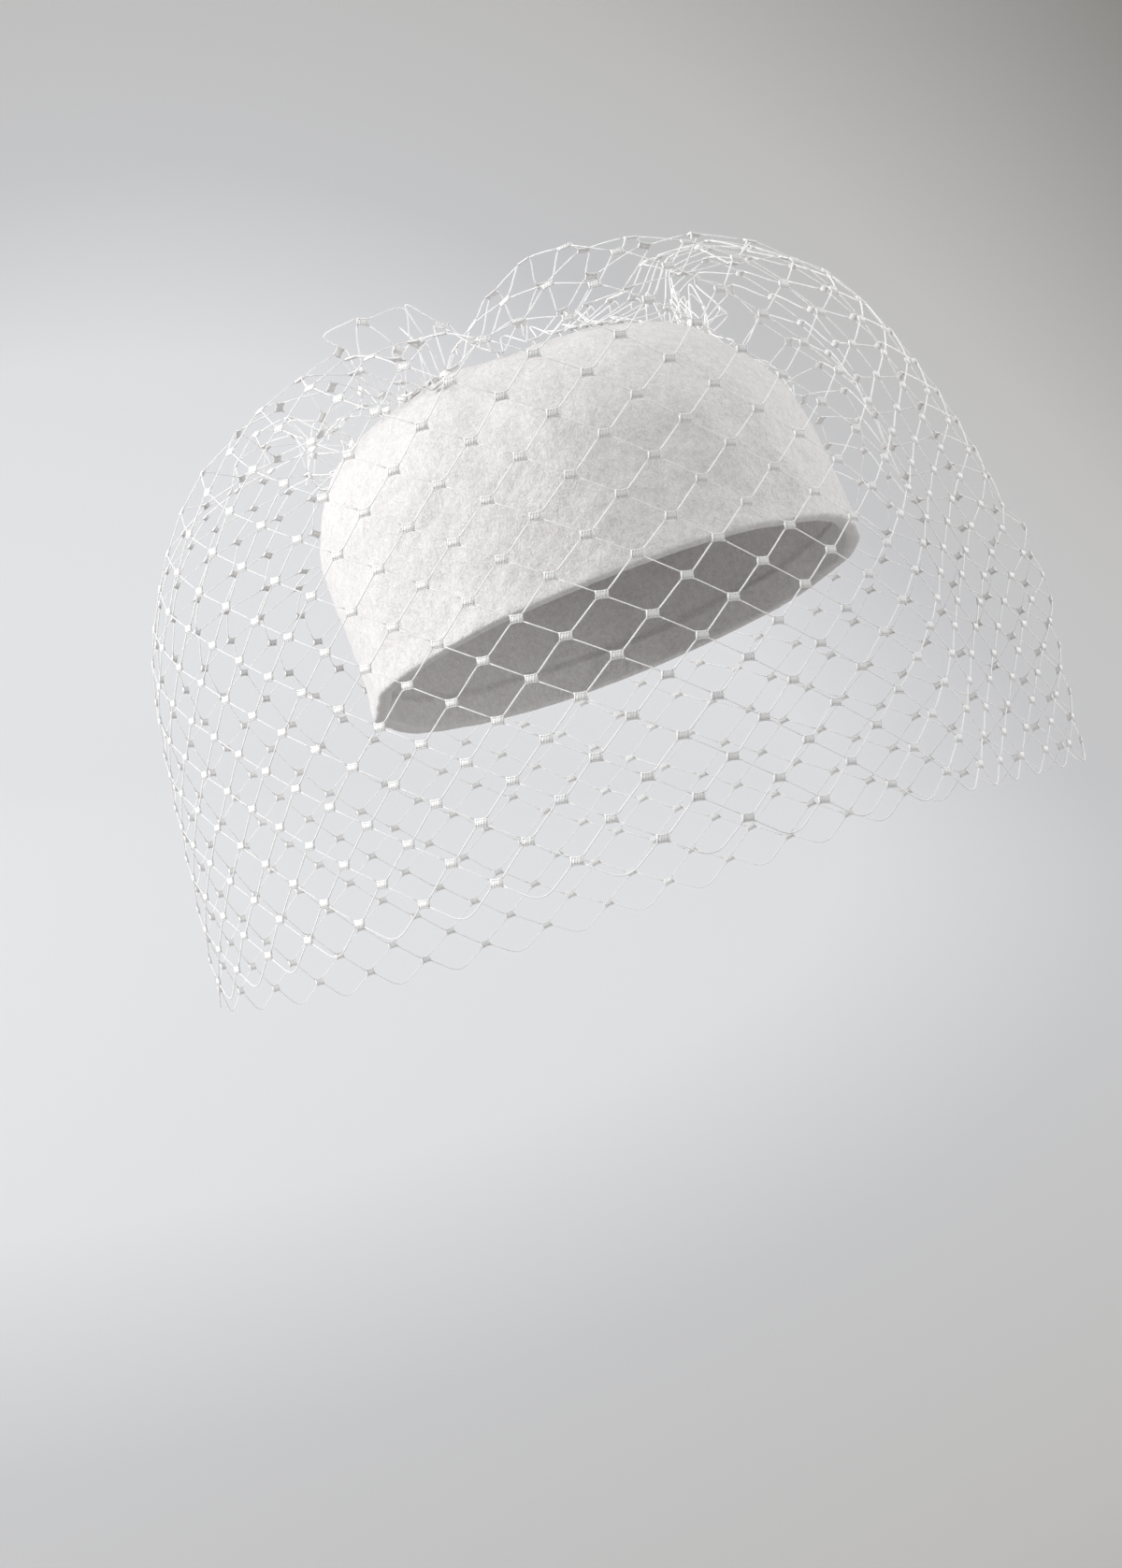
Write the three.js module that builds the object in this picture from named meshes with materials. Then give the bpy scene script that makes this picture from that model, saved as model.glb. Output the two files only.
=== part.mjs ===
// A felt pillbox hat with a birdcage veil, in millimetres, +Z up, as it is worn.
// The origin is the middle of the hat's rim, where a head goes in. The wearer looks along -Y.
// The hat leans to the wearer's right (-X) and tips back, and the veil leans a little less.
import * as THREE from 'three';

// ---- driving dimensions ----

const DEG = Math.PI / 180;

// how the two pieces are worn: lean lowers the wearer's right side, tip raises the front
const CROWN_LEAN = 24.3 * DEG;
const CROWN_TIP = 25.6 * DEG;
const VEIL_LEAN = 15.6 * DEG;
const VEIL_TIP = 23.5 * DEG;

// felt crown: a soft oval drum whose shoulder is rounder on the wearer's left
const CROWN_HALF_WIDTH = 85;
const CROWN_HALF_DEPTH = 92.5;
const CROWN_SQUARENESS = 2.15;
const CROWN_HEIGHT = 87.4;
const CROWN_BACK_RISE = 2;
const CROWN_DOME = 4;
const CROWN_TAPER = 0.02;
const SHOULDER_RIGHT = 40;
const SHOULDER_LEFT = 53;
const FELT = 2.5;
const HEM_EXTRA = 1.8;
const HEM_DEPTH = 11;
const RIM_ROUND = 1.2;

// netting: one yard of nine inch veiling, 36 cells round, gathered round the top of the crown
const VEIL_THICKNESS = 1.5;
const GATHER_CLEARANCE = 2;
const HALF_CELLS_ROUND = 72;
const FRONT_AZIMUTH = 3 * DEG;

// One row for each fold round the veil, in the veil's own upright frame. The azimuth is 0 in front
// and grows towards the wearer's left. A fold runs from its hem point, at its reach, straight up to
// the height of its wall top. Then it turns over a ridge that rounds off its corner.
const VEIL_FOLDS = [
  { azimuth: -178, reach: 150, hem: -90, wallTop: 35, cornerReach: 122, corner: 90 },
  { azimuth: -155, reach: 160, hem: -98, wallTop: 35, cornerReach: 127, corner: 91 },
  { azimuth: -130, reach: 168, hem: -100, wallTop: 36, cornerReach: 132, corner: 92 },
  { azimuth: -105, reach: 168, hem: -96, wallTop: 40, cornerReach: 137, corner: 94 },
  { azimuth: -90, reach: 162, hem: -92, wallTop: 45, cornerReach: 139, corner: 96 },
  { azimuth: -75, reach: 147, hem: -88.5, wallTop: 48, cornerReach: 134, corner: 96 },
  { azimuth: -66, reach: 138, hem: -87, wallTop: 49, cornerReach: 129, corner: 92 },
  { azimuth: -56, reach: 131, hem: -86.4, wallTop: 50, cornerReach: 123, corner: 88 },
  { azimuth: -45, reach: 125, hem: -85.5, wallTop: 51, cornerReach: 117, corner: 84 },
  { azimuth: -33, reach: 119, hem: -85, wallTop: 54, cornerReach: 112, corner: 86 },
  { azimuth: -20, reach: 116, hem: -84.5, wallTop: 62, cornerReach: 110, corner: 96 },
  { azimuth: -9, reach: 115, hem: -84, wallTop: 70, cornerReach: 109, corner: 104 },
  { azimuth: 3, reach: 115, hem: -84, wallTop: 75, cornerReach: 109, corner: 107 },
  { azimuth: 15, reach: 112, hem: -83.7, wallTop: 78, cornerReach: 109, corner: 109 },
  { azimuth: 28, reach: 108, hem: -83.4, wallTop: 80, cornerReach: 109, corner: 111 },
  { azimuth: 42, reach: 107, hem: -83, wallTop: 82, cornerReach: 110, corner: 114 },
  { azimuth: 55, reach: 108, hem: -82.6, wallTop: 83, cornerReach: 112, corner: 116 },
  { azimuth: 68, reach: 108, hem: -82.3, wallTop: 83, cornerReach: 113, corner: 117 },
  { azimuth: 81, reach: 109, hem: -82, wallTop: 74, cornerReach: 112, corner: 114 },
  { azimuth: 92, reach: 116, hem: -81.5, wallTop: 56, cornerReach: 111, corner: 108 },
  { azimuth: 98, reach: 122, hem: -81, wallTop: 44, cornerReach: 111, corner: 103 },
  { azimuth: 103, reach: 130, hem: -80.6, wallTop: 31, cornerReach: 112, corner: 98 },
  { azimuth: 107, reach: 138, hem: -80.3, wallTop: 19, cornerReach: 113, corner: 94 },
  { azimuth: 111, reach: 147, hem: -80, wallTop: 6, cornerReach: 115, corner: 91 },
  { azimuth: 116, reach: 161, hem: -79.3, wallTop: -10, cornerReach: 117, corner: 88 },
  { azimuth: 122, reach: 171.5, hem: -78, wallTop: -22, cornerReach: 119, corner: 87 },
  { azimuth: 132, reach: 176.5, hem: -76.5, wallTop: -24, cornerReach: 124, corner: 87 },
  { azimuth: 145, reach: 171, hem: -76, wallTop: -6, cornerReach: 127, corner: 87 },
  { azimuth: 160, reach: 160, hem: -82, wallTop: 20, cornerReach: 124, corner: 89 },
];

// Where half columns of cells are sewn to the crown's top, in the crown's frame. They crowd at the
// tack on the wearer's right front, columns -11 to -5, and in the bunch on the left front, 3 to 13.
const VEIL_GATHERS = [
  { column: -18, azimuth: -94, radius: 68 },
  { column: -14, azimuth: -62, radius: 67 },
  { column: -11, azimuth: -38, radius: 66 },
  { column: -8, azimuth: -27, radius: 66 },
  { column: -5, azimuth: -22, radius: 66 },
  { column: -3, azimuth: -14, radius: 62 },
  { column: -1, azimuth: -3, radius: 57 },
  { column: 1, azimuth: 9, radius: 53 },
  { column: 3, azimuth: 22, radius: 52 },
  { column: 7, azimuth: 34, radius: 51 },
  { column: 11, azimuth: 46, radius: 52 },
  { column: 13, azimuth: 57, radius: 53 },
  { column: 15, azimuth: 68, radius: 54 },
  { column: 17, azimuth: 81, radius: 57 },
  { column: 19, azimuth: 93, radius: 62 },
  { column: 21, azimuth: 104, radius: 66 },
  { column: 24, azimuth: 117, radius: 68 },
  { column: 29, azimuth: 137, radius: 69 },
  { column: 36, azimuth: 160, radius: 68 },
  { column: 45, azimuth: 190, radius: 66 },
  { column: 53, azimuth: 240, radius: 68 },
];

// fineness of the two surfaces
const CROWN_AROUND = 64;
const CROWN_WALL_RINGS = 6;
const CROWN_SHOULDER_RINGS = 8;
const CROWN_TOP_RINGS = 3;
const VEIL_WALL_RINGS = 5;
const VEIL_ROOF_RINGS = 11;
const HEM_LINE_STEPS = 1440;

const feltMaterial = new THREE.MeshStandardMaterial({ color: 0xf1edea, roughness: 0.95, metalness: 0 });
const netMaterial = new THREE.MeshStandardMaterial({ color: 0xf4f2ee, roughness: 0.6, metalness: 0 });

// ---- frames ----

function tiltedFrame(lean, tip) {
  const frame = new THREE.Group();
  frame.rotation.set(-tip, -lean, 0, 'YXZ');
  frame.updateMatrix();
  return frame;
}

const crownFrame = tiltedFrame(CROWN_LEAN, CROWN_TIP);
const veilFrame = tiltedFrame(VEIL_LEAN, VEIL_TIP);
const crownToVeil = veilFrame.matrix.clone().invert().multiply(crownFrame.matrix);

// the level direction at an azimuth: 0 is the front, -Y, and 90 the wearer's left, +X
function outward(angle) {
  return new THREE.Vector3(Math.sin(angle), -Math.cos(angle), 0);
}

// ---- felt crown ----

// radius of the oval plan at an angle, for half sizes drawn in by an inset
function ovalRadius(angle, inset) {
  const across = Math.abs(Math.sin(angle)) / (CROWN_HALF_WIDTH - inset);
  const along = Math.abs(Math.cos(angle)) / (CROWN_HALF_DEPTH - inset);
  return (across ** CROWN_SQUARENESS + along ** CROWN_SQUARENESS) ** (-1 / CROWN_SQUARENESS);
}

function shoulderRadius(angle) {
  const left = (1 + Math.sin(angle)) / 2;
  return SHOULDER_RIGHT + (SHOULDER_LEFT - SHOULDER_RIGHT) * left;
}

function crownHeight(angle) {
  return CROWN_HEIGHT - CROWN_BACK_RISE * Math.cos(angle);
}

// a point of the crown's surface: station runs 0 to 1 up the wall, to 2 over the shoulder and to 3
// at the middle of the top, and inset moves it in from the outside
function crownPoint(angle, station, inset) {
  const shoulder = shoulderRadius(angle);
  const wallTop = crownHeight(angle) - shoulder;
  const wall = Math.min(station, 1);
  const turn = (Math.min(Math.max(station - 1, 0), 1) * Math.PI) / 2;
  const across = Math.min(Math.max(station - 2, 0), 1);
  const taper = 1 - (CROWN_TAPER * wallTop * wall) / CROWN_HEIGHT;
  const edge = ovalRadius(angle, inset) * taper;
  const arc = shoulder - inset;
  const radius = (edge - arc * (1 - Math.cos(turn))) * (1 - across);
  const flat = wallTop * wall + arc * Math.sin(turn);
  const crest = CROWN_HEIGHT - inset + CROWN_DOME;
  const dome = across * (2 - across);
  const height = flat + (crest - flat) * dome;
  return outward(angle).multiplyScalar(radius).setZ(height);
}

function ring(count, pointAt) {
  return Array.from({ length: count }, (_, i) => pointAt((i / count) * 2 * Math.PI - Math.PI));
}

function crownStations() {
  const stations = [];
  for (let i = 0; i <= CROWN_WALL_RINGS; i += 1) stations.push(i / CROWN_WALL_RINGS);
  for (let i = 1; i <= CROWN_SHOULDER_RINGS; i += 1) stations.push(1 + i / CROWN_SHOULDER_RINGS);
  for (let i = 1; i < CROWN_TOP_RINGS; i += 1) stations.push(2 + i / CROWN_TOP_RINGS);
  return stations;
}

// the turned-under hem makes the wall thicker just above the rim
function feltInset(height) {
  const share = Math.min(Math.max(1 - height / HEM_DEPTH, 0), 1);
  return FELT + HEM_EXTRA * Math.sqrt(share);
}

function crownGeometry() {
  const stations = crownStations();
  const outside = stations.map((s) => ring(CROWN_AROUND, (a) => crownPoint(a, s, 0)));
  const inside = stations.map((s) =>
    ring(CROWN_AROUND, (a) => crownPoint(a, s, feltInset(crownPoint(a, s, 0).z))),
  );
  const edge = ring(CROWN_AROUND, (a) => {
    const middle = crownPoint(a, 0, (FELT + HEM_EXTRA) / 2);
    return middle.setZ(-RIM_ROUND);
  });
  const outsideTop = new THREE.Vector3(0, 0, CROWN_HEIGHT + CROWN_DOME);
  const insideTop = new THREE.Vector3(0, 0, CROWN_HEIGHT + CROWN_DOME - FELT);
  const rings = [...inside.toReversed(), edge, ...outside];
  return closedSurface(rings, insideTop, outsideTop);
}

// ---- netting veil ----

// a smooth periodic function of the azimuth in degrees, through one column of the table of folds
function foldColumn(name) {
  const count = VEIL_FOLDS.length;
  const at = (i) => {
    const turns = Math.floor(i / count);
    const row = VEIL_FOLDS[i - turns * count];
    return { azimuth: row.azimuth + 360 * turns, value: row[name] };
  };
  const slope = (i) => {
    const before = at(i - 1);
    const after = at(i + 1);
    return (after.value - before.value) / (after.azimuth - before.azimuth);
  };
  return (azimuth) => {
    const first = VEIL_FOLDS[0].azimuth;
    const wrapped = ((((azimuth - first) % 360) + 360) % 360) + first;
    let i = 0;
    while (at(i + 1).azimuth <= wrapped) i += 1;
    const start = at(i);
    const end = at(i + 1);
    const span = end.azimuth - start.azimuth;
    const t = (wrapped - start.azimuth) / span;
    const rise = end.value - start.value;
    const bend0 = slope(i) * span - rise;
    const bend1 = rise - slope(i + 1) * span;
    return start.value + rise * t + t * (1 - t) * ((1 - t) * bend0 + t * bend1);
  };
}

const wallReach = foldColumn('reach');
const hemHeight = foldColumn('hem');
const wallTopHeight = foldColumn('wallTop');
const cornerReach = foldColumn('cornerReach');
const cornerHeight = foldColumn('corner');

// the angles of the half columns of cells, evenly spaced along the hem from the front one
function columnAngles() {
  const hemPoint = (angle) => outward(angle).multiplyScalar(wallReach(angle / DEG));
  const step = (2 * Math.PI) / HEM_LINE_STEPS;
  const along = [0];
  for (let i = 0; i < HEM_LINE_STEPS; i += 1) {
    const here = hemPoint(FRONT_AZIMUTH + i * step);
    along.push(along[i] + here.distanceTo(hemPoint(FRONT_AZIMUTH + (i + 1) * step)));
  }
  const angles = [];
  for (let column = 0, i = 0; column < HALF_CELLS_ROUND; column += 1) {
    const place = (along[HEM_LINE_STEPS] * column) / HALF_CELLS_ROUND;
    while (along[i + 1] <= place) i += 1;
    const share = (place - along[i]) / (along[i + 1] - along[i]);
    angles.push(FRONT_AZIMUTH + (i + share) * step);
  }
  return angles;
}

// height of the crown's outside above a level radius that lies over its shoulder or its top
function crownTop(angle, radius) {
  const shoulder = shoulderRadius(angle);
  const wallTop = crownHeight(angle) - shoulder;
  const edge = ovalRadius(angle, 0) * (1 - (CROWN_TAPER * wallTop) / CROWN_HEIGHT);
  const flat = edge - shoulder;
  if (radius < flat) {
    const across = 1 - radius / flat;
    const dome = across * (2 - across);
    return crownHeight(angle) + (CROWN_HEIGHT + CROWN_DOME - crownHeight(angle)) * dome;
  }
  return wallTop + Math.sqrt(shoulder ** 2 - (radius - flat) ** 2);
}

// where a half column is sewn down: just clear of the crown's top, in the veil's frame
function gatherPoint(column) {
  const first = VEIL_GATHERS[0];
  const wrapped = column < HALF_CELLS_ROUND + first.column ? column : column - HALF_CELLS_ROUND;
  const again = { ...first, column: first.column + HALF_CELLS_ROUND, azimuth: first.azimuth + 360 };
  const rows = [...VEIL_GATHERS, again];
  const i = rows.findIndex((row) => row.column > wrapped) - 1;
  const share = (wrapped - rows[i].column) / (rows[i + 1].column - rows[i].column);
  const angle = THREE.MathUtils.lerp(rows[i].azimuth, rows[i + 1].azimuth, share) * DEG;
  const radius = THREE.MathUtils.lerp(rows[i].radius, rows[i + 1].radius, share);
  const point = outward(angle).multiplyScalar(radius);
  point.setZ(crownTop(angle, radius) + GATHER_CLEARANCE);
  return point.applyMatrix4(crownToVeil);
}

// the middle line of the fold at one half column, from the hem over the ridge to its stitches
function foldLine(angle, column) {
  const azimuth = angle / DEG;
  const hem = outward(angle).multiplyScalar(wallReach(azimuth)).setZ(hemHeight(azimuth));
  const wallTop = hem.clone().setZ(wallTopHeight(azimuth));
  const corner = outward(angle).multiplyScalar(cornerReach(azimuth)).setZ(cornerHeight(azimuth));
  const roof = new THREE.QuadraticBezierCurve3(wallTop, corner, gatherPoint(column));
  const line = roof.getPoints(VEIL_ROOF_RINGS);
  for (let i = VEIL_WALL_RINGS - 1; i >= 0; i -= 1) {
    line.unshift(hem.clone().lerp(wallTop, i / VEIL_WALL_RINGS));
  }
  return line;
}

// the surface normal of a grid of points that closes on itself along its second index
function gridNormal(grid, row, column) {
  const around = grid[row].length;
  const left = grid[row][(column + around - 1) % around];
  const right = grid[row][(column + 1) % around];
  const below = grid[Math.max(row - 1, 0)][column];
  const above = grid[Math.min(row + 1, grid.length - 1)][column];
  const along = right.clone().sub(left);
  return along.cross(above.clone().sub(below)).normalize();
}

function veilGeometry() {
  const folds = columnAngles().map(foldLine);
  const middle = folds[0].map((_, row) => folds.map((fold) => fold[row]));
  const offset = (side) =>
    middle.map((points, row) =>
      points.map((point, column) =>
        point.clone().addScaledVector(gridNormal(middle, row, column), (side * VEIL_THICKNESS) / 2),
      ),
    );
  const rings = [...offset(-1).toReversed(), ...offset(1)];
  return closedSurface(rings, null, null);
}

// ---- meshing ----

// A closed surface through rings of points. With end points it is a shell that closes on them, and
// without them its last ring joins its first one.
function closedSurface(rings, start, end) {
  const around = rings[0].length;
  const points = rings.flat();
  const triangles = [];
  const joinRings = (a, b) => {
    for (let i = 0; i < around; i += 1) {
      const next = (i + 1) % around;
      triangles.push(a + i, a + next, b + i);
      triangles.push(a + next, b + next, b + i);
    }
  };
  for (let r = 0; r + 1 < rings.length; r += 1) joinRings(r * around, (r + 1) * around);
  if (start === null) {
    joinRings((rings.length - 1) * around, 0);
  } else {
    const first = points.push(start) - 1;
    const last = points.push(end) - 1;
    const top = (rings.length - 1) * around;
    for (let i = 0; i < around; i += 1) {
      const next = (i + 1) % around;
      triangles.push(first, next, i);
      triangles.push(top + i, top + next, last);
    }
  }
  const geometry = new THREE.BufferGeometry().setFromPoints(points);
  geometry.setIndex(triangles);
  geometry.computeVertexNormals();
  return geometry;
}

// ---- the hat ----

function namedMesh(name, geometry, material) {
  const mesh = new THREE.Mesh(geometry, material);
  mesh.name = name;
  return mesh;
}

const hat = new THREE.Group();
crownFrame.add(namedMesh('felt_crown', crownGeometry(), feltMaterial));
veilFrame.add(namedMesh('netting_veil', veilGeometry(), netMaterial));
hat.add(crownFrame, veilFrame);

export default hat;
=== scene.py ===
import math

import bpy
import numpy as np
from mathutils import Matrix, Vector


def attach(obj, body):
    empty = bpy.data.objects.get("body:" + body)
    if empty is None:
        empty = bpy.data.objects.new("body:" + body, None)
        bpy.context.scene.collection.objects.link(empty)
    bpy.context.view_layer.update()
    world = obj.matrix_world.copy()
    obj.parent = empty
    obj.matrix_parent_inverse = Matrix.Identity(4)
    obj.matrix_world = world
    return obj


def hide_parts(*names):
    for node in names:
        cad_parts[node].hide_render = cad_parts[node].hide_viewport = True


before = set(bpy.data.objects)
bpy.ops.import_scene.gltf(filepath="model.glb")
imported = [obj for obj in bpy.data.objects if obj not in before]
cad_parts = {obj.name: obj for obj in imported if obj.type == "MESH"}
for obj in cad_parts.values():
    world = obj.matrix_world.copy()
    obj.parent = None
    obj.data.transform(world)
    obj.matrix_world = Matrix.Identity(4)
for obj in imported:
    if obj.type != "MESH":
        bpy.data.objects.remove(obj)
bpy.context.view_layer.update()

MM = 0.001

# ---- the two tilted frames, as in the part ----

CROWN_LEAN, CROWN_TIP = math.radians(24.3), math.radians(25.6)
VEIL_LEAN, VEIL_TIP = math.radians(15.6), math.radians(23.5)


def tilt(lean, tip):
    """Turns a level frame: lean lowers the wearer's right, -X, and tip raises the front, -Y."""
    ca, sa, cb, sb = math.cos(lean), math.sin(lean), math.cos(tip), math.sin(tip)
    about_y = np.array([[ca, 0, -sa], [0, 1, 0], [sa, 0, ca]])
    about_x = np.array([[1, 0, 0], [0, cb, sb], [0, -sb, cb]])
    return about_y @ about_x


CROWN_FRAME = tilt(CROWN_LEAN, CROWN_TIP)
VEIL_FRAME = tilt(VEIL_LEAN, VEIL_TIP)
CROWN_TO_VEIL = VEIL_FRAME.T @ CROWN_FRAME

# ---- felt crown ----

CROWN_HALF_WIDTH, CROWN_HALF_DEPTH, CROWN_SQUARENESS = 85.0, 92.5, 2.15
CROWN_HEIGHT, CROWN_BACK_RISE, CROWN_DOME, CROWN_TAPER = 87.4, 2.0, 4.0, 0.02
SHOULDER_RIGHT, SHOULDER_LEFT = 40.0, 53.0
FELT, HEM_EXTRA, HEM_DEPTH, RIM_ROUND = 2.5, 1.8, 11.0, 1.2
FELT_AROUND, FELT_WALL, FELT_SHOULDER, FELT_TOP = 384, 34, 40, 30
RIM_STEPS = 8


def outward(angle):
    """The level direction at an azimuth: 0 is the front, -Y, and 90 degrees the wearer's left, +X."""
    return np.stack([np.sin(angle), -np.cos(angle)], -1)


def crown_shoulder(angle):
    return SHOULDER_RIGHT + (SHOULDER_LEFT - SHOULDER_RIGHT) * (1 + np.sin(angle)) / 2


def crown_wall_top(angle):
    return CROWN_HEIGHT - CROWN_BACK_RISE * np.cos(angle) - crown_shoulder(angle)


def crown_oval(angle, inset):
    across = np.abs(np.sin(angle)) / (CROWN_HALF_WIDTH - inset)
    along = np.abs(np.cos(angle)) / (CROWN_HALF_DEPTH - inset)
    return (across**CROWN_SQUARENESS + along**CROWN_SQUARENESS) ** (-1 / CROWN_SQUARENESS)


def crown_point(angle, station, inset):
    """A point of the felt: stations 0 to 1 are the wall, to 2 the shoulder, to 3 the top."""
    shoulder, wall_top = crown_shoulder(angle), crown_wall_top(angle)
    wall = np.minimum(station, 1)
    turn = np.clip(station - 1, 0, 1) * math.pi / 2
    across = np.clip(station - 2, 0, 1)
    edge = crown_oval(angle, inset) * (1 - CROWN_TAPER * wall_top * wall / CROWN_HEIGHT)
    arc = shoulder - inset
    radius = (edge - arc * (1 - np.cos(turn))) * (1 - across)
    flat = wall_top * wall + arc * np.sin(turn)
    height = flat + (CROWN_HEIGHT - inset + CROWN_DOME - flat) * across * (2 - across)
    return np.concatenate([outward(angle) * radius[..., None], height[..., None]], -1)


def crown_top(angle, radius):
    """The height of the felt's outside above a level radius."""
    shoulder, wall_top = crown_shoulder(angle), crown_wall_top(angle)
    edge = crown_oval(angle, 0) * (1 - CROWN_TAPER * wall_top / CROWN_HEIGHT)
    flat = edge - shoulder
    inset = np.clip((edge - radius) / shoulder, 0, 1)
    over = wall_top + shoulder * np.sqrt(1 - (1 - inset) ** 2)
    across = np.clip(1 - radius / flat, 0, 1)
    rim = wall_top + shoulder
    dome = rim + (CROWN_HEIGHT + CROWN_DOME - rim) * across * (2 - across)
    return np.where(radius < flat, dome, over)


# ---- smooth seeded noise for hand-made surfaces ----


class Waves:
    """A sum of seeded sine waves in space, about -1 to 1, with a typical wavelength."""

    def __init__(self, wavelength, seed, count=24):
        draw = np.random.default_rng(seed)
        way = draw.normal(size=(count, 3))
        way /= np.linalg.norm(way, axis=1, keepdims=True)
        self.way = way * (2 * math.pi / wavelength) * draw.uniform(0.7, 1.4, (count, 1))
        self.phase = draw.uniform(0, 2 * math.pi, count)
        self.scale = math.sqrt(2 / count)

    def __call__(self, points):
        return np.sin(points @ self.way.T + self.phase).sum(-1) * self.scale


# ---- mesh helpers ----


def make_object(name, points, faces, material):
    mesh = bpy.data.meshes.new(name)
    mesh.from_pydata((np.asarray(points) * MM).tolist(), [], faces)
    mesh.validate()
    mesh.polygons.foreach_set("use_smooth", [True] * len(mesh.polygons))
    mesh.update()
    piece = bpy.data.objects.new(name, mesh)
    bpy.context.scene.collection.objects.link(piece)
    piece.data.materials.append(material)
    return piece


def grid_faces(rows, columns, closed_columns=True):
    """Quads over a grid of points numbered row by row."""
    row = np.arange(rows - 1)
    column = np.arange(columns if closed_columns else columns - 1)
    r, c = np.meshgrid(row, column, indexing="ij")
    r2, c2 = r + 1, (c + 1) % columns
    quads = np.stack([r * columns + c, r * columns + c2, r2 * columns + c2, r2 * columns + c], -1)
    return quads.reshape(-1, 4)


def tubes(paths, sides, across, up, half_across, half_up):
    """Closed tubes over many paths at once. paths is (count, steps, 3), across and up are the
    section's unit axes at each step, and the half sizes give its ellipse at each step."""
    count, steps, _ = paths.shape
    angle = np.arange(sides) / sides * 2 * math.pi
    ring_a = np.cos(angle)[None, None, :, None] * half_across[..., None, None] * across[:, :, None]
    ring_u = np.sin(angle)[None, None, :, None] * half_up[..., None, None] * up[:, :, None]
    points = (paths[:, :, None] + ring_a + ring_u).reshape(-1, 3)
    one = grid_faces(steps, sides)
    starts = np.arange(count) * steps * sides
    faces = (one[None] + starts[:, None, None]).reshape(-1, 4).tolist()
    first = np.arange(sides)[::-1]
    last = np.arange(sides) + (steps - 1) * sides
    for start in starts:
        faces.append((first + start).tolist())
        faces.append((last + start).tolist())
    return points, faces


def unit(vectors):
    return vectors / (np.linalg.norm(vectors, axis=-1, keepdims=True) + 1e-12)


# ---- felt crown ----

FELT_LUMPS = ((46.0, 0.55, 11), (17.0, 0.22, 12), (6.0, 0.09, 13))
HEM_ROLL, HEM_ROLL_HEIGHT, HEM_STEP = 0.5, 5.0, 0.8


def felt_swell(points):
    """How far the hand-blocked felt stands out from its plain form, lump size by lump size."""
    return sum(Waves(size, seed)(points) * depth for size, depth, seed in FELT_LUMPS)


def felt_rings():
    """The felt as rings: up the inside from its top to the rim, round it and up the outside."""
    angle = np.linspace(-math.pi, math.pi, FELT_AROUND, endpoint=False)
    wall = np.linspace(0, 1, FELT_WALL, endpoint=False)
    shoulder = 1 + np.linspace(0, 1, FELT_SHOULDER, endpoint=False)
    top = 2 + np.linspace(0, 1, FELT_TOP, endpoint=False)
    stations = np.concatenate([wall, shoulder, top])
    a, s = np.meshgrid(angle, stations)
    plain = crown_point(a, s, np.zeros_like(a))
    roll = HEM_ROLL * np.exp(-((plain[..., 2] / HEM_ROLL_HEIGHT) ** 2))
    outside = crown_point(a, s, -felt_swell(plain) - roll)
    turned = np.clip((HEM_DEPTH - plain[..., 2]) / HEM_STEP + 0.5, 0, 1)
    inside = crown_point(a, s, FELT + HEM_EXTRA * turned - felt_swell(plain))
    low_out, low_in = outside[0], inside[0]
    rim = []
    for step in range(1, RIM_STEPS):
        turn = math.pi * step / RIM_STEPS
        ring = low_in + (low_out - low_in) * (1 - math.cos(turn)) / 2
        ring[:, 2] -= RIM_ROUND * math.sin(turn)
        rim.append(ring)
    return [*inside[::-1], *rim, *outside]


def build_felt(material):
    rings = felt_rings()
    points = np.concatenate(rings)
    faces = grid_faces(len(rings), FELT_AROUND).tolist()
    inner_pole, outer_pole = rings[0].mean(0), rings[-1].mean(0)
    inner, outer = len(points), len(points) + 1
    last = (len(rings) - 1) * FELT_AROUND
    for i in range(FELT_AROUND):
        following = (i + 1) % FELT_AROUND
        faces.append([inner, following, i])
        faces.append([outer, last + i, last + following])
    points = np.vstack([points, inner_pole, outer_pole]) @ CROWN_FRAME.T
    return make_object("crown_felt", points, faces, material)


# ---- netting ----

CELL_WIDTH, CELL_HEIGHT = 25.4, 17.6
CELLS_ROUND, CELLS_HIGH = 36, 13
COLUMNS, ROWS = 2 * CELLS_ROUND, 2 * CELLS_HIGH + 1
LINK = math.hypot(CELL_WIDTH, CELL_HEIGHT) / 2
FRONT_AZIMUTH = 3.0
FIRST_COLUMN_BACK = 18
GATHER_CLEARANCE = 2.0
FRILL_RISE, FRILL_LEAN, FRILL_SEED = 7.5, 0.45, 21
HEM_LINE_STEPS, ROOF_STEPS = 1440, 30

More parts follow.
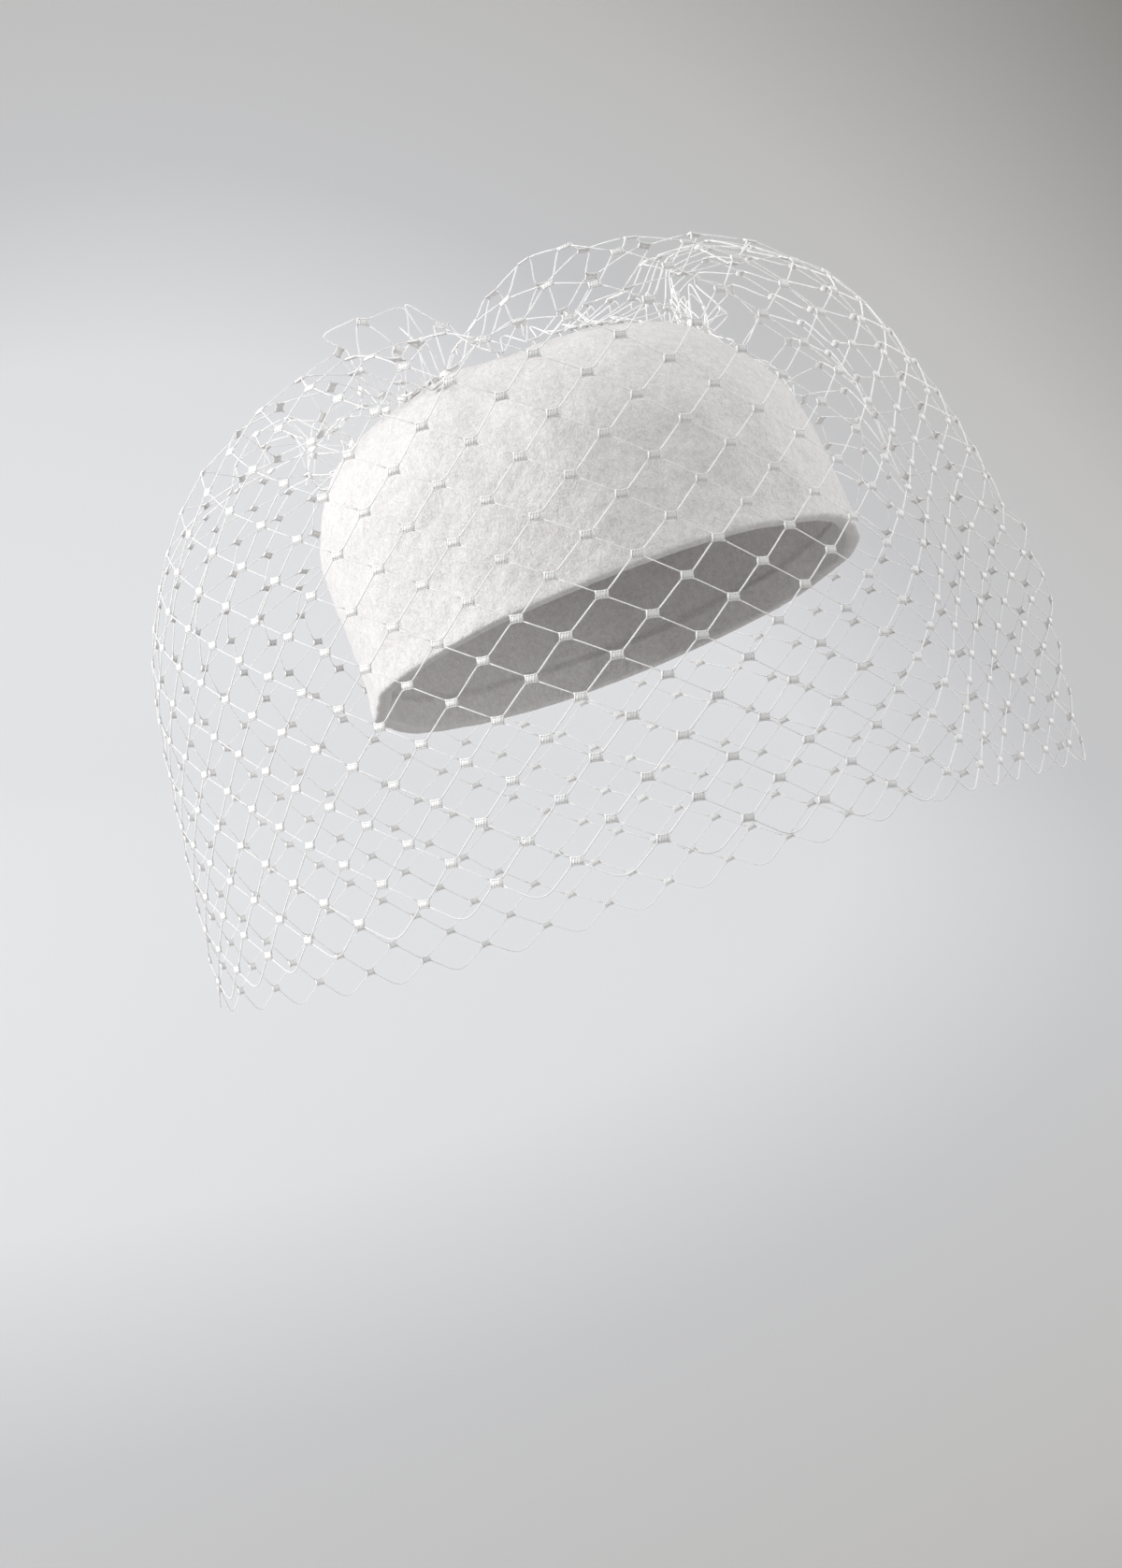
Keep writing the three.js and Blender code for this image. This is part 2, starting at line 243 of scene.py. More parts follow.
# The outer form of the veil, a row for each fold, in its own upright frame: the azimuth, the reach
# and the height of the hem, the height where the wall starts to turn in, and the reach and height
# of the corner that the ridge rounds off.
VEIL_FOLDS = (
    (-178, 150, -90, 35, 122, 90),
    (-155, 160, -98, 35, 127, 91),
    (-130, 168, -100, 36, 132, 92),
    (-105, 168, -96, 40, 137, 94),
    (-90, 162, -92, 45, 139, 96),
    (-75, 147, -88.5, 48, 134, 96),
    (-66, 138, -87, 49, 129, 92),
    (-56, 131, -86.4, 50, 123, 88),
    (-45, 125, -85.5, 51, 117, 84),
    (-33, 119, -85, 54, 112, 86),
    (-20, 116, -84.5, 62, 110, 96),
    (-9, 115, -84, 70, 109, 104),
    (3, 115, -84, 75, 109, 107),
    (15, 112, -83.7, 78, 109, 109),
    (28, 108, -83.4, 80, 109, 111),
    (42, 107, -83, 82, 110, 114),
    (55, 108, -82.6, 83, 112, 116),
    (68, 108, -82.3, 83, 113, 117),
    (81, 109, -82, 74, 112, 114),
    (92, 116, -81.5, 56, 111, 108),
    (98, 122, -81, 44, 111, 103),
    (103, 130, -80.6, 31, 112, 98),
    (107, 138, -80.3, 19, 113, 94),
    (111, 147, -80, 6, 115, 91),
    (116, 161, -79.3, -10, 117, 88),
    (122, 171.5, -78, -22, 119, 87),
    (132, 176.5, -76.5, -24, 124, 87),
    (145, 171, -76, -6, 127, 87),
    (160, 160, -82, 20, 124, 89),
)

# Where the net's half columns are sewn to the top of the crown: the half column, its azimuth and
# radius in the crown's frame, and the row of the net that is sewn. They crowd together at the tack
# on the wearer's right front and in the bunch on the left front.
VEIL_GATHERS = (
    (-18, -94, 68, 24),
    (-14, -62, 67, 24),
    (-11, -38, 66, 23),
    (-8, -27, 66, 23),
    (-5, -22, 66, 23),
    (-3, -14, 62, 24),
    (-1, -3, 57, 25),
    (1, 9, 53, 25),
    (3, 22, 52, 25),
    (7, 34, 51, 25),
    (11, 46, 52, 25),
    (13, 57, 53, 25),
    (15, 68, 54, 25),
    (17, 81, 57, 25),
    (19, 93, 62, 24),
    (21, 104, 66, 24),
    (24, 117, 68, 24),
    (29, 137, 69, 24),
    (36, 160, 68, 24),
    (45, 190, 66, 24),
    (53, 240, 68, 24),
)


def fold_values(azimuth):
    """The columns of VEIL_FOLDS at any azimuth, on a smooth curve that closes on itself."""
    table = np.array(VEIL_FOLDS, float)
    count = len(table)
    turn = np.array([360.0, 0, 0, 0, 0, 0])
    rows = np.vstack([table[-1] - turn, table, table[:2] + turn])
    wrapped = (azimuth - table[0, 0]) % 360 + table[0, 0]
    i = np.clip(np.searchsorted(rows[:, 0], wrapped, side="right") - 1, 1, count)
    start, end = rows[i], rows[i + 1]
    before, after = end - rows[i - 1], rows[i + 2] - start
    span = (end - start)[:, :1]
    share = (wrapped[:, None] - start[:, :1]) / span
    rise = end - start
    bend_start = before / before[:, :1] * span - rise
    bend_end = rise - after / after[:, :1] * span
    return start + rise * share + share * (1 - share) * ((1 - share) * bend_start + share * bend_end)


def column_azimuths():
    """The azimuth of each half column of cells, evenly spaced along the hem."""
    azimuth = np.linspace(-180, 180, HEM_LINE_STEPS, endpoint=False)
    reach = fold_values(azimuth)[:, 1]
    plan = outward(np.radians(azimuth)) * reach[:, None]
    steps = np.linalg.norm(np.roll(plan, -1, 0) - plan, axis=1)
    along = np.concatenate([[0], np.cumsum(steps)])
    around = np.append(azimuth, 180)
    front = np.interp(FRONT_AZIMUTH, around, along)
    place = (front + np.arange(COLUMNS) * along[-1] / COLUMNS) % along[-1]
    return np.interp(place, along, around)


def gather_points():
    """Where each half column is sewn to the crown, in the veil's frame, and the row that is sewn."""
    table = np.array(VEIL_GATHERS, float)
    table = np.vstack([table, table[0] + [COLUMNS, 360, 0, 0]])
    column = (np.arange(COLUMNS) + FIRST_COLUMN_BACK) % COLUMNS - FIRST_COLUMN_BACK
    angle = np.radians(np.interp(column, table[:, 0], table[:, 1]))
    radius = np.interp(column, table[:, 0], table[:, 2])
    height = crown_top(angle, radius) + GATHER_CLEARANCE
    points = np.concatenate([outward(angle) * radius[:, None], height[:, None]], -1)
    row = table[np.searchsorted(table[:, 0], column, side="right") - 1, 3].astype(int)
    return points @ CROWN_TO_VEIL.T, row


def frill_ways():
    """The direction that each half column's free edge stands in above its stitches: up from the
    crown, leaning one way or the other."""
    draw = np.random.default_rng(FRILL_SEED)
    sway = np.stack([draw.normal(size=COLUMNS), draw.normal(size=COLUMNS)], -1)
    sway = sway + np.roll(sway, 1, 0) + np.roll(sway, -1, 0)
    sway *= FRILL_LEAN / sway.std()
    return unit(np.concatenate([sway, np.ones((COLUMNS, 1))], -1)) @ CROWN_TO_VEIL.T


def designed_net():
    """The net's knots laid on the outer form: an array of columns by rows of points."""
    azimuth = column_azimuths()
    folds = fold_values(azimuth)
    gathers, sewn_rows = gather_points()
    ways = frill_ways()
    rows = np.arange(ROWS)
    net = np.zeros((COLUMNS, ROWS, 3))
    for i in range(COLUMNS):
        _, reach, hem, wall_top, corner_reach, corner_height = folds[i]
        way = outward(np.radians(azimuth[i]))
        foot = np.append(way * reach, hem)
        top = np.append(way * reach, wall_top)
        corner = np.append(way * corner_reach, corner_height)
        t = np.linspace(0, 1, ROOF_STEPS)[:, None]
        roof = (1 - t) ** 2 * top + 2 * t * (1 - t) * corner + t**2 * gathers[i]
        path = np.vstack([foot, roof])
        along = np.concatenate([[0], np.cumsum(np.linalg.norm(np.diff(path, axis=0), axis=1))])
        wall = wall_top - hem
        wall_rows = wall / (CELL_HEIGHT / 2)
        share = (rows - wall_rows) / (sewn_rows[i] - wall_rows)
        place = np.where(rows <= wall_rows, rows * CELL_HEIGHT / 2, wall + share * (along[-1] - wall))
        for axis in range(3):
            net[i, :, axis] = np.interp(place, along, path[:, axis])
        frill = np.maximum(rows - sewn_rows[i], 0)
        net[i] += ways[i] * (frill * FRILL_RISE)[:, None]
    return net, sewn_rows


def push_out_of_crown(points, gap):
    """Moves points of the veil's frame that are inside the crown out to its surface."""
    level = points @ CROWN_TO_VEIL
    angle = np.arctan2(level[:, 0], -level[:, 1])
    radius, height = np.hypot(level[:, 0], level[:, 1]), level[:, 2]
    shoulder, wall_top = crown_shoulder(angle), crown_wall_top(angle)
    edge = crown_oval(angle, 0) * (1 - CROWN_TAPER * np.clip(height, 0, wall_top) / CROWN_HEIGHT)
    centre = edge - shoulder
    out, up = np.zeros_like(radius), np.zeros_like(radius)
    beside = (height < wall_top) & (height > 0)
    depth = edge + gap - radius
    hit = beside & (depth > 0) & (radius > centre)
    out[hit] = depth[hit]
    reach = np.hypot(radius - centre, height - wall_top) + 1e-9
    depth = shoulder + gap - reach
    hit = (height >= wall_top) & (radius > centre) & (depth > 0)
    out[hit] = (depth * (radius - centre) / reach)[hit]
    up[hit] = (depth * (height - wall_top) / reach)[hit]
    depth = crown_top(angle, radius) + gap - height
    hit = (height >= wall_top) & (radius <= centre) & (depth > 0)
    up[hit] = depth[hit]
    level = level + np.concatenate([outward(angle) * out[:, None], up[:, None]], -1)
    return level @ CROWN_TO_VEIL.T


RELAX_STEPS = 400
LINK_PASSES = 3
HOLD, HOLD_FADE_ROW, HOLD_FADE_ROWS = 0.15, 21, 6
PUFF, PUFF_ROW, PUFF_ROWS = 0.4, 15, 5
STIFFNESS = 0.08
FRILL_HOLD = 0.4


def knot_places():
    """True where the net has a knot: every other crossing of the half columns and rows."""
    column, row = np.meshgrid(np.arange(COLUMNS), np.arange(ROWS), indexing="ij")
    return (column + row) % 2 == 1


def relax_net(net, sewn_rows):
    """Lets the net settle: its links are drawn back to their length, its threads are springy, the
    wall keeps the outer form, the roof puffs out as stiff netting does, and the gathered row stays
    sewn down. Links at the gathers, between sewn knots or at the frill, can stay longer or shorter."""
    knots = knot_places()
    form = net.copy()
    rows = np.arange(ROWS)
    above = rows[None, :] - sewn_rows[:, None]
    sewn = knots & (above == np.where(knots[np.arange(COLUMNS), sewn_rows], 0, -1)[:, None])
    free = np.where(sewn, 0.0, 1.0)
    fade = np.clip((HOLD_FADE_ROW - rows) / HOLD_FADE_ROWS, 0, 1)[None, :]
    hold = (HOLD * np.where(above > 0, FRILL_HOLD, fade) * free)[..., None]
    swell = np.clip((rows - PUFF_ROW) / PUFF_ROWS, 0, 1)[None, :]
    puff = (PUFF * np.where(above > 0, 0, swell) * free)[..., None]
    links, runs = [], []
    for side in (1, -1):
        for start in (0, 1):
            c, r = np.nonzero(knots[:, :-1] & (rows[None, :-1] % 2 == start))
            links.append((c, r, (c + side) % COLUMNS, r + 1))
        c, r = np.nonzero(knots[:, 1:-1])
        r = r + 1
        runs.append(((c - side) % COLUMNS, r - 1, c, r, (c + side) % COLUMNS, r + 1))
    for _ in range(RELAX_STEPS):
        along = np.roll(net, -1, 0) - np.roll(net, 1, 0)
        normal = unit(np.cross(along, np.gradient(net, axis=1)))
        net = net + normal * puff
        for c0, r0, c1, r1, c2, r2 in runs:
            bend = (net[c0, r0] + net[c2, r2]) / 2 - net[c1, r1]
            net[c1, r1] += bend * STIFFNESS * free[c1, r1][:, None]
            net[c0, r0] -= bend * STIFFNESS / 2 * free[c0, r0][:, None]
            net[c2, r2] -= bend * STIFFNESS / 2 * free[c2, r2][:, None]
        net += (form - net) * hold
        for _ in range(LINK_PASSES):
            for c0, r0, c1, r1 in links:
                gap = net[c1, r1] - net[c0, r0]
                length = np.linalg.norm(gap, axis=1, keepdims=True) + 1e-9
                give0, give1 = free[c0, r0][:, None], free[c1, r1][:, None]
                pull = (length - LINK) / length * gap / (give0 + give1 + 1e-9)
                net[c0, r0] += pull * give0
                net[c1, r1] -= pull * give1
        net = np.where(knots[..., None], net, (np.roll(net, 1, 0) + np.roll(net, -1, 0)) / 2)
        clear = push_out_of_crown(net.reshape(-1, 3), GATHER_CLEARANCE).reshape(net.shape)
        net = np.where(sewn[..., None], net, clear)
    return net, sewn


THREAD, FINE_THREAD, SELVEDGE = 0.25, 0.2, 0.24
THREAD_SIDES, THREAD_STEPS, THREAD_STRAIGHTNESS = 6, 6, 0.75
KNOT_HALF_LENGTH, KNOT_HALF_HEIGHT, KNOT_WAIST = 2.0, 1.2, 0.18
KNOT_SIDES, KNOT_STEPS, KNOT_THREAD = 5, 5, 0.25
KNOT_BARS, BAR_SPREAD, BAR_SLANT = 5, 0.8, 0.2
BAR_SIDES, BAR_HALF_WIDTH, BAR_HALF_DEPTH = 4, 0.27, 0.46
CORE_SIDES, CORE_STEPS, CORE_LENGTH, CORE_HALF_DEPTH = 6, 4, 0.92, 0.36
KNOT_TURN = math.radians(-6)
THREAD_EXIT_ALONG, THREAD_EXIT_UP = 1.95, 1.15
SELVEDGE_STEPS, SELVEDGE_ROUND, SELVEDGE_TURN = 15, 0.42, 0.3


def knot_axes(net):
    """Unit axes at each knot: along the strip, up its width and out of it."""
    along = unit(np.roll(net, -1, 0) - np.roll(net, 1, 0))
    rise = np.gradient(net, axis=1)
    out = unit(np.cross(along, rise))
    up = np.cross(out, along)
    turn, lift = math.cos(KNOT_TURN), math.sin(KNOT_TURN)
    return along * turn + up * lift, up * turn - along * lift, out


def curve_through(start, end, leave, arrive, steps):
    """Hermite curves from start to end, as (count, steps, 3)."""
    t = np.linspace(0, 1, steps)[None, :, None]
    start, end, leave, arrive = (v[:, None] for v in (start, end, leave, arrive))
    return (
        (2 * t**3 - 3 * t**2 + 1) * start
        + (t**3 - 2 * t**2 + t) * leave
        + (3 * t**2 - 2 * t**3) * end
        + (t**3 - t**2) * arrive
    )


def tube_axes(paths, hint):
    """Two unit axes across each step of the paths, the second one close to the hint."""
    ahead = unit(np.gradient(paths, axis=1))
    side = unit(np.cross(ahead, hint))
    return side, np.cross(side, ahead)


def family_paths(net, axes, side):
    """The links that rise towards one side, as smooth curves from knot to knot."""
    along, up, out = axes
    knots = knot_places()
    c, r = np.nonzero(knots[:, 1:-2])
    r = r + 1
    c1, r1 = (c + side) % COLUMNS, r + 1
    low, high = net[c, r], net[c1, r1]
    before, after = net[(c - side) % COLUMNS, r - 1], net[(c1 + side) % COLUMNS, r1 + 1]
    start = low + side * along[c, r] * THREAD_EXIT_ALONG + up[c, r] * THREAD_EXIT_UP
    end = high - side * along[c1, r1] * THREAD_EXIT_ALONG - up[c1, r1] * THREAD_EXIT_UP
    straight = end - start
    bow = (1 - THREAD_STRAIGHTNESS) / 2
    leave = THREAD_STRAIGHTNESS * straight + bow * (high - before)
    arrive = THREAD_STRAIGHTNESS * straight + bow * (after - low)
    return curve_through(start, end, leave, arrive, THREAD_STEPS), (out[c, r] + out[c1, r1])[:, None]


def build_threads(name, net, axes, side, radius, material):
    paths, hint = family_paths(net, axes, side)
    across, up = tube_axes(paths, hint)
    half = np.full(paths.shape[:2], radius)
    points, faces = tubes(paths, THREAD_SIDES, across, up, half, half)
    return make_object(name, points @ VEIL_FRAME.T, faces, material)


def knot_height(place):
    """Half the height of a knot at a place along it, from -1 to 1: it has a slight waist."""
    return KNOT_HALF_HEIGHT * (1 - KNOT_WAIST * (1 - place**2))


def build_knots(net, axes, material):
    """Each knot is a small flat ladder over a solid core: two threads side by side, bound by a row
    of short bars."""
    along, up, out = axes
    c, r = np.nonzero(knot_places()[:, 1:-1])
    r = r + 1
    centre, ahead, rise, depth = (v[c, r][:, None] for v in (net, along, up, out))
    place = np.linspace(-1, 1, KNOT_STEPS)[None, :, None]
    rails = [
        centre + ahead * place * KNOT_HALF_LENGTH + rise * knot_height(place) * side for side in (1, -1)
    ]
    bars = []
    for step in np.linspace(-BAR_SPREAD, BAR_SPREAD, KNOT_BARS):
        side = np.array([-1.0, 1.0])[None, :, None]
        foot = centre + ahead * (step * KNOT_HALF_LENGTH + side * BAR_SLANT)
        bars.append(foot + rise * side * knot_height(step))
    reach = np.linspace(-CORE_LENGTH, CORE_LENGTH, CORE_STEPS)[None, :, None]
    core = centre + ahead * reach * KNOT_HALF_LENGTH
    core_width = KNOT_HALF_HEIGHT * (1 - KNOT_WAIST)
    parts = []
    for paths, sides, width, thickness in (
        (core, CORE_SIDES, core_width, CORE_HALF_DEPTH),
        (np.concatenate(rails), KNOT_SIDES, KNOT_THREAD, KNOT_THREAD),
        (np.concatenate(bars), BAR_SIDES, BAR_HALF_WIDTH, BAR_HALF_DEPTH),
    ):
        copies = len(paths) // len(c)
        across, lift = tube_axes(paths, np.tile(depth, (copies, 1, 1)))
        shape = np.ones(paths.shape[:2])
        parts.append(tubes(paths, sides, across, lift, shape * width, shape * thickness))
    faces, count = [], 0
    for points, part_faces in parts:
        faces += [[count + corner for corner in face] for face in part_faces]
        count += len(points)
    points = np.vstack([part_points for part_points, _ in parts])
    return make_object("veil_knots", points @ VEIL_FRAME.T, faces, material)


def selvedge_paths(net, axes, tip_row, knot_row):
    """The scallops of an edge of the strip: a rounded V between each two knots next to it."""
    along, up, out = axes
    c = np.nonzero(knot_places()[:, tip_row])[0]
    a, b = (c - 1) % COLUMNS, (c + 1) % COLUMNS
    down = 1 if tip_row < knot_row else -1
    start = net[a, knot_row] + along[a, knot_row] * THREAD_EXIT_ALONG
    end = net[b, knot_row] - along[b, knot_row] * THREAD_EXIT_ALONG
    start = start - down * up[a, knot_row] * THREAD_EXIT_UP
    end = end - down * up[b, knot_row] * THREAD_EXIT_UP
    tip = net[c, tip_row]
    t = np.linspace(0, 1, SELVEDGE_STEPS)[None, :, None]
    start, end, tip = (v[:, None] for v in (start, end, tip))
    turn_in = start + (tip - start) * (1 - SELVEDGE_ROUND)
    turn_out = end + (tip - end) * (1 - SELVEDGE_ROUND)
    turn_end = 1 - SELVEDGE_TURN
    u = np.clip((t - SELVEDGE_TURN) / (turn_end - SELVEDGE_TURN), 0, 1)
    corner = (1 - u) ** 2 * turn_in + 2 * u * (1 - u) * tip + u**2 * turn_out
    falling = start + (turn_in - start) * np.clip(t / SELVEDGE_TURN, 0, 1)
    rising = turn_out + (end - turn_out) * np.clip((t - turn_end) / SELVEDGE_TURN, 0, 1)
    paths = np.where(t < SELVEDGE_TURN, falling, np.where(t > turn_end, rising, corner))
    return paths, (out[a, knot_row] + out[b, knot_row])[:, None]


def build_selvedge(name, net, axes, tip_row, knot_row, material):
    paths, hint = selvedge_paths(net, axes, tip_row, knot_row)
    across, up = tube_axes(paths, hint)
    half = np.full(paths.shape[:2], SELVEDGE)
    points, faces = tubes(paths, THREAD_SIDES, across, up, half, half)
    return make_object(name, points @ VEIL_FRAME.T, faces, material)


# ---- sewing that holds the net to the felt ----

STITCH, STITCH_SPAN, STITCH_RISE, STITCH_STEPS = 0.22, 2.6, 2.9, 11


def build_stitches(net, sewn, material):
    """A small loop of sewing thread over each gathered knot, with both ends in the felt."""
    c, r = np.nonzero(sewn)
    foot = net[c, r]
    level = foot @ CROWN_TO_VEIL
    inward = unit(np.concatenate([-level[:, :2], np.zeros((len(c), 1))], -1)) @ CROWN_TO_VEIL.T
    lift = CROWN_TO_VEIL[:, 2]
    t = np.linspace(0, math.pi, STITCH_STEPS)
    across = np.cos(t)[None, :, None] * inward[:, None] * STITCH_SPAN
    rise = (np.sin(t) * STITCH_RISE - GATHER_CLEARANCE - STITCH_RISE / 2)[None, :, None] * lift
    paths = foot[:, None] + across + rise
    hint = np.cross(inward, lift)[:, None]
    side, up = tube_axes(paths, hint)
    half = np.full(paths.shape[:2], STITCH)
    points, faces = tubes(paths, THREAD_SIDES, side, up, half, half)
    return make_object("gather_stitches", points @ VEIL_FRAME.T, faces, material)


# ---- materials ----

# the sockets of a mix node that mixes colours
MIX_FACTOR, MIX_FIRST, MIX_SECOND, MIX_COLOUR = 0, 6, 7, 2


class Nodes:
    """A material's node tree, with one Principled shader and object coordinates."""

    def __init__(self, name):
        self.material = bpy.data.materials.new(name)
        self.material.use_nodes = True
        self.tree = self.material.node_tree
        self.shader = self.tree.nodes["Principled BSDF"]
        self.place = self.tree.nodes.new("ShaderNodeTexCoord").outputs["Object"]

    def link(self, output, target):
        self.tree.links.new(output, target)

    def noise(self, scale, detail, distortion=0.0):
        node = self.tree.nodes.new("ShaderNodeTexNoise")
        node.inputs["Scale"].default_value = scale
        node.inputs["Detail"].default_value = detail
        node.inputs["Distortion"].default_value = distortion
        self.link(self.place, node.inputs["Vector"])
        return node.outputs["Fac"]

    def ramp(self, factor, *stops):
        node = self.tree.nodes.new("ShaderNodeValToRGB")
        ramp = node.color_ramp
        while len(ramp.elements) < len(stops):
            ramp.elements.new(0.5)
        for element, (position, colour) in zip(ramp.elements, stops):
            element.position = position
            element.color = (*colour, 1)
        self.link(factor, node.inputs["Fac"])
        return node.outputs["Color"]

    def multiply(self, first, second):
        node = self.tree.nodes.new("ShaderNodeMix")
        node.data_type = "RGBA"
        node.blend_type = "MULTIPLY"
        node.inputs[MIX_FACTOR].default_value = 1.0
        self.link(first, node.inputs[MIX_FIRST])
        self.link(second, node.inputs[MIX_SECOND])
        return node.outputs[MIX_COLOUR]

    def bump(self, height, distance, strength, under=None):
        node = self.tree.nodes.new("ShaderNodeBump")
        node.inputs["Distance"].default_value = distance
        node.inputs["Strength"].default_value = strength
        self.link(height, node.inputs["Height"])
        if under is not None:
            self.link(under, node.inputs["Normal"])
        return node.outputs["Normal"]


FELT_SHADES = (
    (0.38, (0.785, 0.765, 0.76)),
    (0.52, (0.835, 0.822, 0.82)),
    (0.66, (0.865, 0.857, 0.857)),
)
NYLON_TONE, KNOT_TONE = (0.96, 0.955, 0.945), (0.97, 0.967, 0.96)
NYLON_DRIFT = 0.93

# the backdrop's painted light and painted shade by its distance in metres from the centre of its
# painted pool of light, the bright spot, as a share of the reach
PAINTED_LIGHT_CENTRE = (-0.5, 0.95, -0.35)
BACKDROP_REACH = 1.6
BACKDROP_PAINTED_SHADES = (
    (0.07, (0.72, 0.73, 0.745)),
    (0.43, (0.645, 0.65, 0.662)),
    (0.56, (0.495, 0.498, 0.506)),
    (0.70, (0.455, 0.451, 0.443)),
    (0.945, (0.228, 0.218, 0.208)),
)


def felt_material():
    """Blocked wool felt: matt, close to white, with a fine pilled surface of matted fibres."""
    nodes = Nodes("wool_felt")
    clouds = nodes.noise(scale=45, detail=3)
    pills = nodes.noise(scale=520, detail=6, distortion=0.3)
    fibres = nodes.noise(scale=1700, detail=8, distortion=0.5)
    base = nodes.ramp(pills, *FELT_SHADES)
    warm = nodes.ramp(clouds, (0.35, (0.99, 0.986, 0.985)), (0.65, (1.0, 1.0, 1.0)))
    colour = nodes.multiply(base, warm)
    hairs = nodes.ramp(fibres, (0.38, (0.87, 0.86, 0.855)), (0.58, (1.0, 1.0, 1.0)))
    colour = nodes.multiply(colour, hairs)
    nodes.link(colour, nodes.shader.inputs["Base Color"])
    normal = nodes.bump(pills, distance=0.0008, strength=0.5)
    normal = nodes.bump(fibres, distance=0.0004, strength=0.8, under=normal)
    nodes.link(normal, nodes.shader.inputs["Normal"])
    nodes.shader.inputs["Roughness"].default_value = 0.95
    nodes.shader.inputs["Specular IOR Level"].default_value = 0.12
    nodes.shader.inputs["Sheen Weight"].default_value = 0.25
    nodes.shader.inputs["Sheen Roughness"].default_value = 0.6
    return nodes.material


def netting_material(name, tone, roughness, glow):
    """Stiff twisted nylon: off-white, with the twist of its filaments. The glow is the share of
    light that it scatters inside."""
    nodes = Nodes(name)
    twist = nodes.noise(scale=2600, detail=2, distortion=0.8)
    drift = nodes.noise(scale=60, detail=2)
    low = tuple(v * NYLON_DRIFT for v in tone)
    colour = nodes.ramp(drift, (0.3, low), (0.7, tone))
    shade = nodes.ramp(twist, (0.3, (0.9, 0.9, 0.89)), (0.6, (1.0, 1.0, 1.0)))
    nodes.link(nodes.multiply(colour, shade), nodes.shader.inputs["Base Color"])
    nodes.link(nodes.bump(twist, distance=0.0001, strength=0.6), nodes.shader.inputs["Normal"])
    nodes.shader.inputs["Roughness"].default_value = roughness
    nodes.shader.inputs["Specular IOR Level"].default_value = 0.3
    nodes.shader.inputs["Subsurface Weight"].default_value = glow
    nodes.shader.inputs["Subsurface Radius"].default_value = (1.0, 1.0, 0.95)
    nodes.shader.inputs["Subsurface Scale"].default_value = 0.0012
    return nodes.material


def stage_material():
    """A pale backdrop with a pool of light painted into its colour behind the hat on the left, which
    darkens away from it into painted shade.
    """
    nodes = Nodes("pale_stage_painted_light")
    away = nodes.tree.nodes.new("ShaderNodeVectorMath")
    away.operation = "DISTANCE"
    away.inputs[1].default_value = PAINTED_LIGHT_CENTRE
    nodes.link(nodes.place, away.inputs[0])
    share = nodes.tree.nodes.new("ShaderNodeMapRange")
    share.inputs["From Max"].default_value = BACKDROP_REACH
    nodes.link(away.outputs["Value"], share.inputs["Value"])
    # painted light and painted shade: the backdrop's colour falls off with distance from the centre of
    # the painted pool of light
    shade = nodes.ramp(share.outputs["Result"], *BACKDROP_PAINTED_SHADES)
    nodes.link(shade, nodes.shader.inputs["Base Color"])
    nodes.shader.inputs["Roughness"].default_value = 0.9
    nodes.shader.inputs["Specular IOR Level"].default_value = 0.1
    return nodes.material


# ---- the hat ----


def build_hat():
    felt = felt_material()
    netting = netting_material("veil_nylon", NYLON_TONE, roughness=0.5, glow=0.6)
    knotted = netting_material("veil_knotted_nylon", KNOT_TONE, roughness=0.6, glow=0.0)
    crown = build_felt(felt)
    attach(crown, "root")
    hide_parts("felt_crown")
    net, sewn = relax_net(*designed_net())
    axes = knot_axes(net)
    pieces = [
        build_threads("veil_threads", net, axes, 1, THREAD, netting),
        build_threads("veil_fine_threads", net, axes, -1, FINE_THREAD, netting),
        build_knots(net, axes, knotted),
        build_selvedge("veil_hem", net, axes, 0, 1, netting),
        build_selvedge("veil_frill", net, axes, ROWS - 1, ROWS - 2, netting),
        build_stitches(net, sewn, netting),
    ]
    for piece in pieces:
        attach(piece, "root")
        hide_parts("netting_veil")


# ---- stage, lights and camera ----

# metres
FLOOR_DROP = 0.42
STAGE_FRONT, STAGE_BACK, STAGE_HALF_WIDTH, STAGE_TOP = -3.0, 1.9, 4.0, 3.2
SWEEP, SWEEP_STEPS = 0.9, 16

# millimetres
CAMERA_PLACE = (-2.0, -698.6, 203.4)
CAMERA_YAW, CAMERA_PITCH = math.radians(1.43), math.radians(20.3)


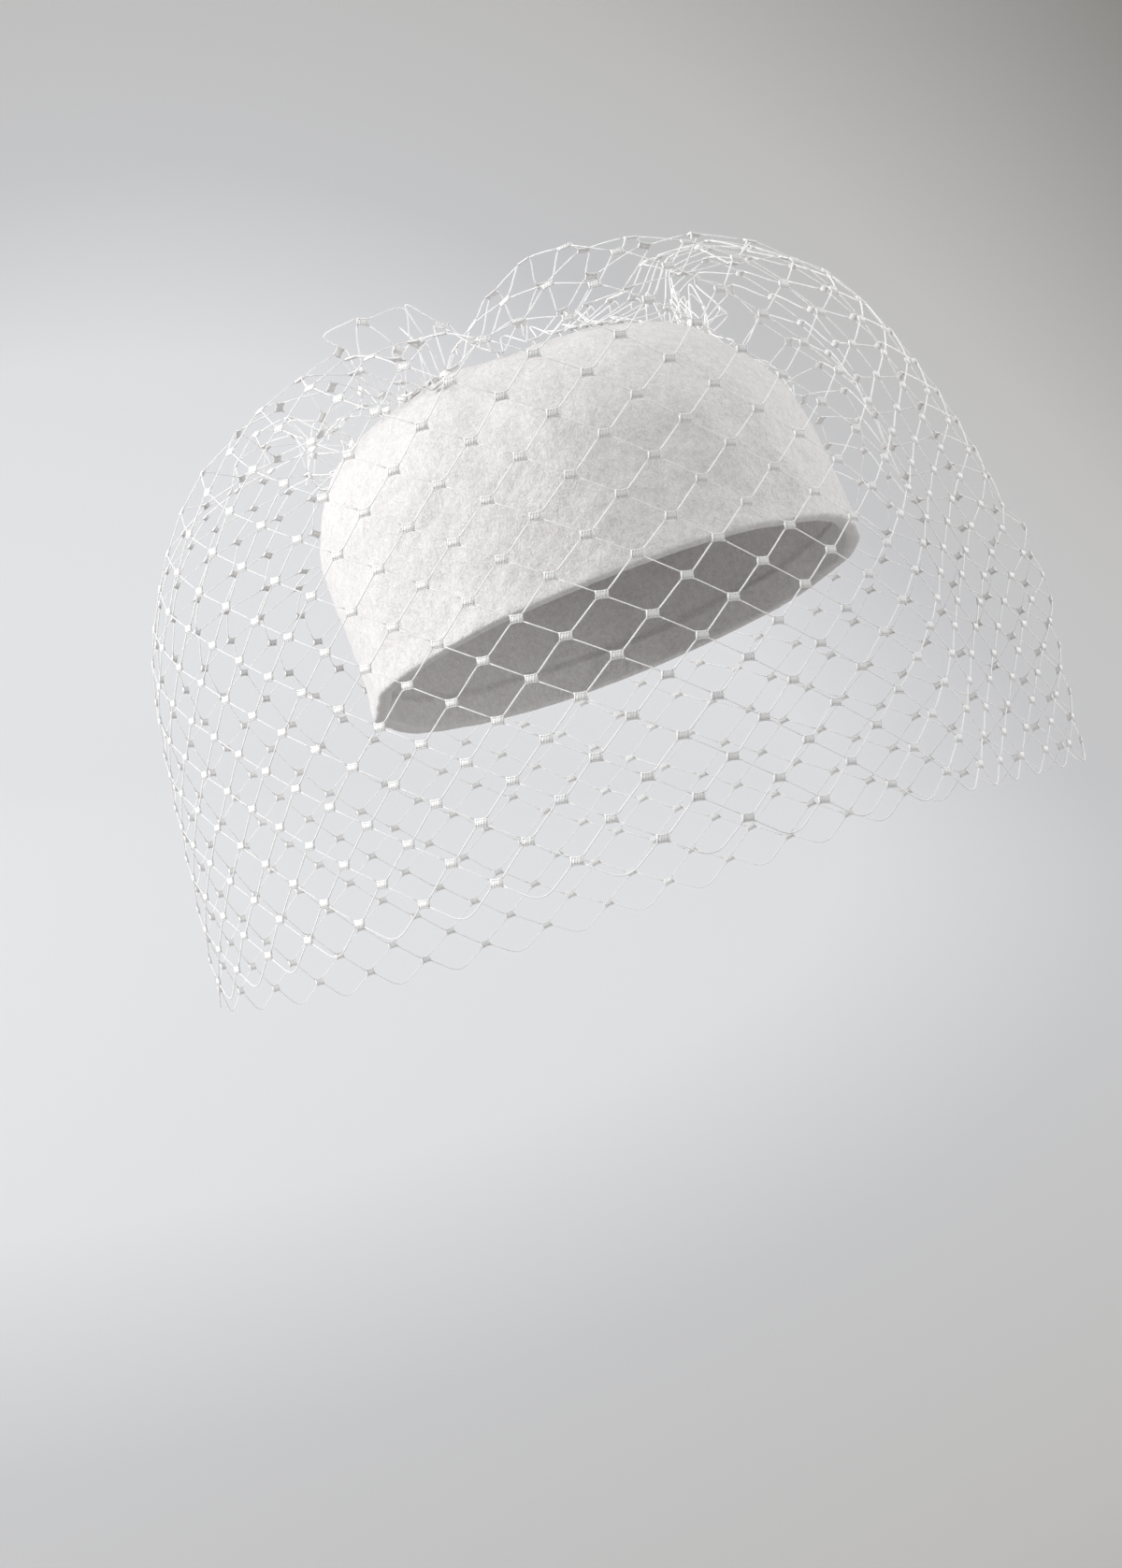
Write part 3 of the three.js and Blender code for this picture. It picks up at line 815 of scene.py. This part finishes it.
def build_stage():
    """A pale floor far below the hat that curves up into a wall behind it."""
    sweep_start = STAGE_BACK - SWEEP
    profile = [(STAGE_FRONT, 0.0), (sweep_start, 0.0)]
    for step in range(1, SWEEP_STEPS + 1):
        turn = math.pi / 2 * step / SWEEP_STEPS
        profile.append((sweep_start + SWEEP * math.sin(turn), SWEEP * (1 - math.cos(turn))))
    profile.append((STAGE_BACK, STAGE_TOP))
    sides = (-STAGE_HALF_WIDTH, STAGE_HALF_WIDTH)
    points = [(x, y, z - FLOOR_DROP) for y, z in profile for x in sides]
    faces = grid_faces(len(profile), 2, closed_columns=False).tolist()
    stage = make_object("stage", np.array(points) / MM, faces, stage_material())


# name, place, target, size, power and colour of each light, in metres and watts
LIGHTS = (
    ("window", (-1.9, -0.55, 0.7), (0, 0, 0.0), (1.3, 1.7), 44, (1.0, 1.0, 1.0)),
    ("fill", (2.2, -0.8, 0.5), (0, 0, 0.0), (1.6, 1.6), 13, (1.0, 0.995, 0.99)),
    ("back", (1.2, 1.0, 0.9), (0, 0, 0.0), (1.2, 0.9), 17, (1.0, 1.0, 1.0)),
    ("wall", (-2.2, 0.6, 0.9), (-0.2, 1.9, 0.1), (1.4, 1.4), 10, (1.0, 1.0, 1.0)),
)


def add_light(name, place, target, size, power, colour):
    data = bpy.data.lights.new(name, "AREA")
    data.shape = "RECTANGLE"
    data.size, data.size_y = size
    data.energy = power
    data.color = colour
    light = bpy.data.objects.new(name, data)
    light.location = place
    light.rotation_euler = (Vector(target) - Vector(place)).to_track_quat("-Z", "Y").to_euler()
    bpy.context.scene.collection.objects.link(light)


def build_lights():
    for light in LIGHTS:
        add_light(*light)
    world = bpy.data.worlds.new("studio")
    world.use_nodes = True
    sky = world.node_tree.nodes["Background"]
    sky.inputs["Color"].default_value = (0.985, 0.985, 1.0, 1)
    sky.inputs["Strength"].default_value = 0.5
    bpy.context.scene.world = world


def build_camera():
    data = bpy.data.cameras.new("camera")
    data.lens = 50
    data.sensor_width = 36
    data.sensor_fit = "AUTO"
    data.clip_end = 30
    camera = bpy.data.objects.new("camera", data)
    camera.location = np.array(CAMERA_PLACE) * MM
    camera.rotation_euler = (math.pi / 2 - CAMERA_PITCH, 0, CAMERA_YAW)
    bpy.context.scene.collection.objects.link(camera)
    bpy.context.scene.camera = camera


build_camera()
build_stage()
build_lights()
build_hat()
bpy.context.scene.view_settings.view_transform = "Standard"
bpy.context.view_layer.update()
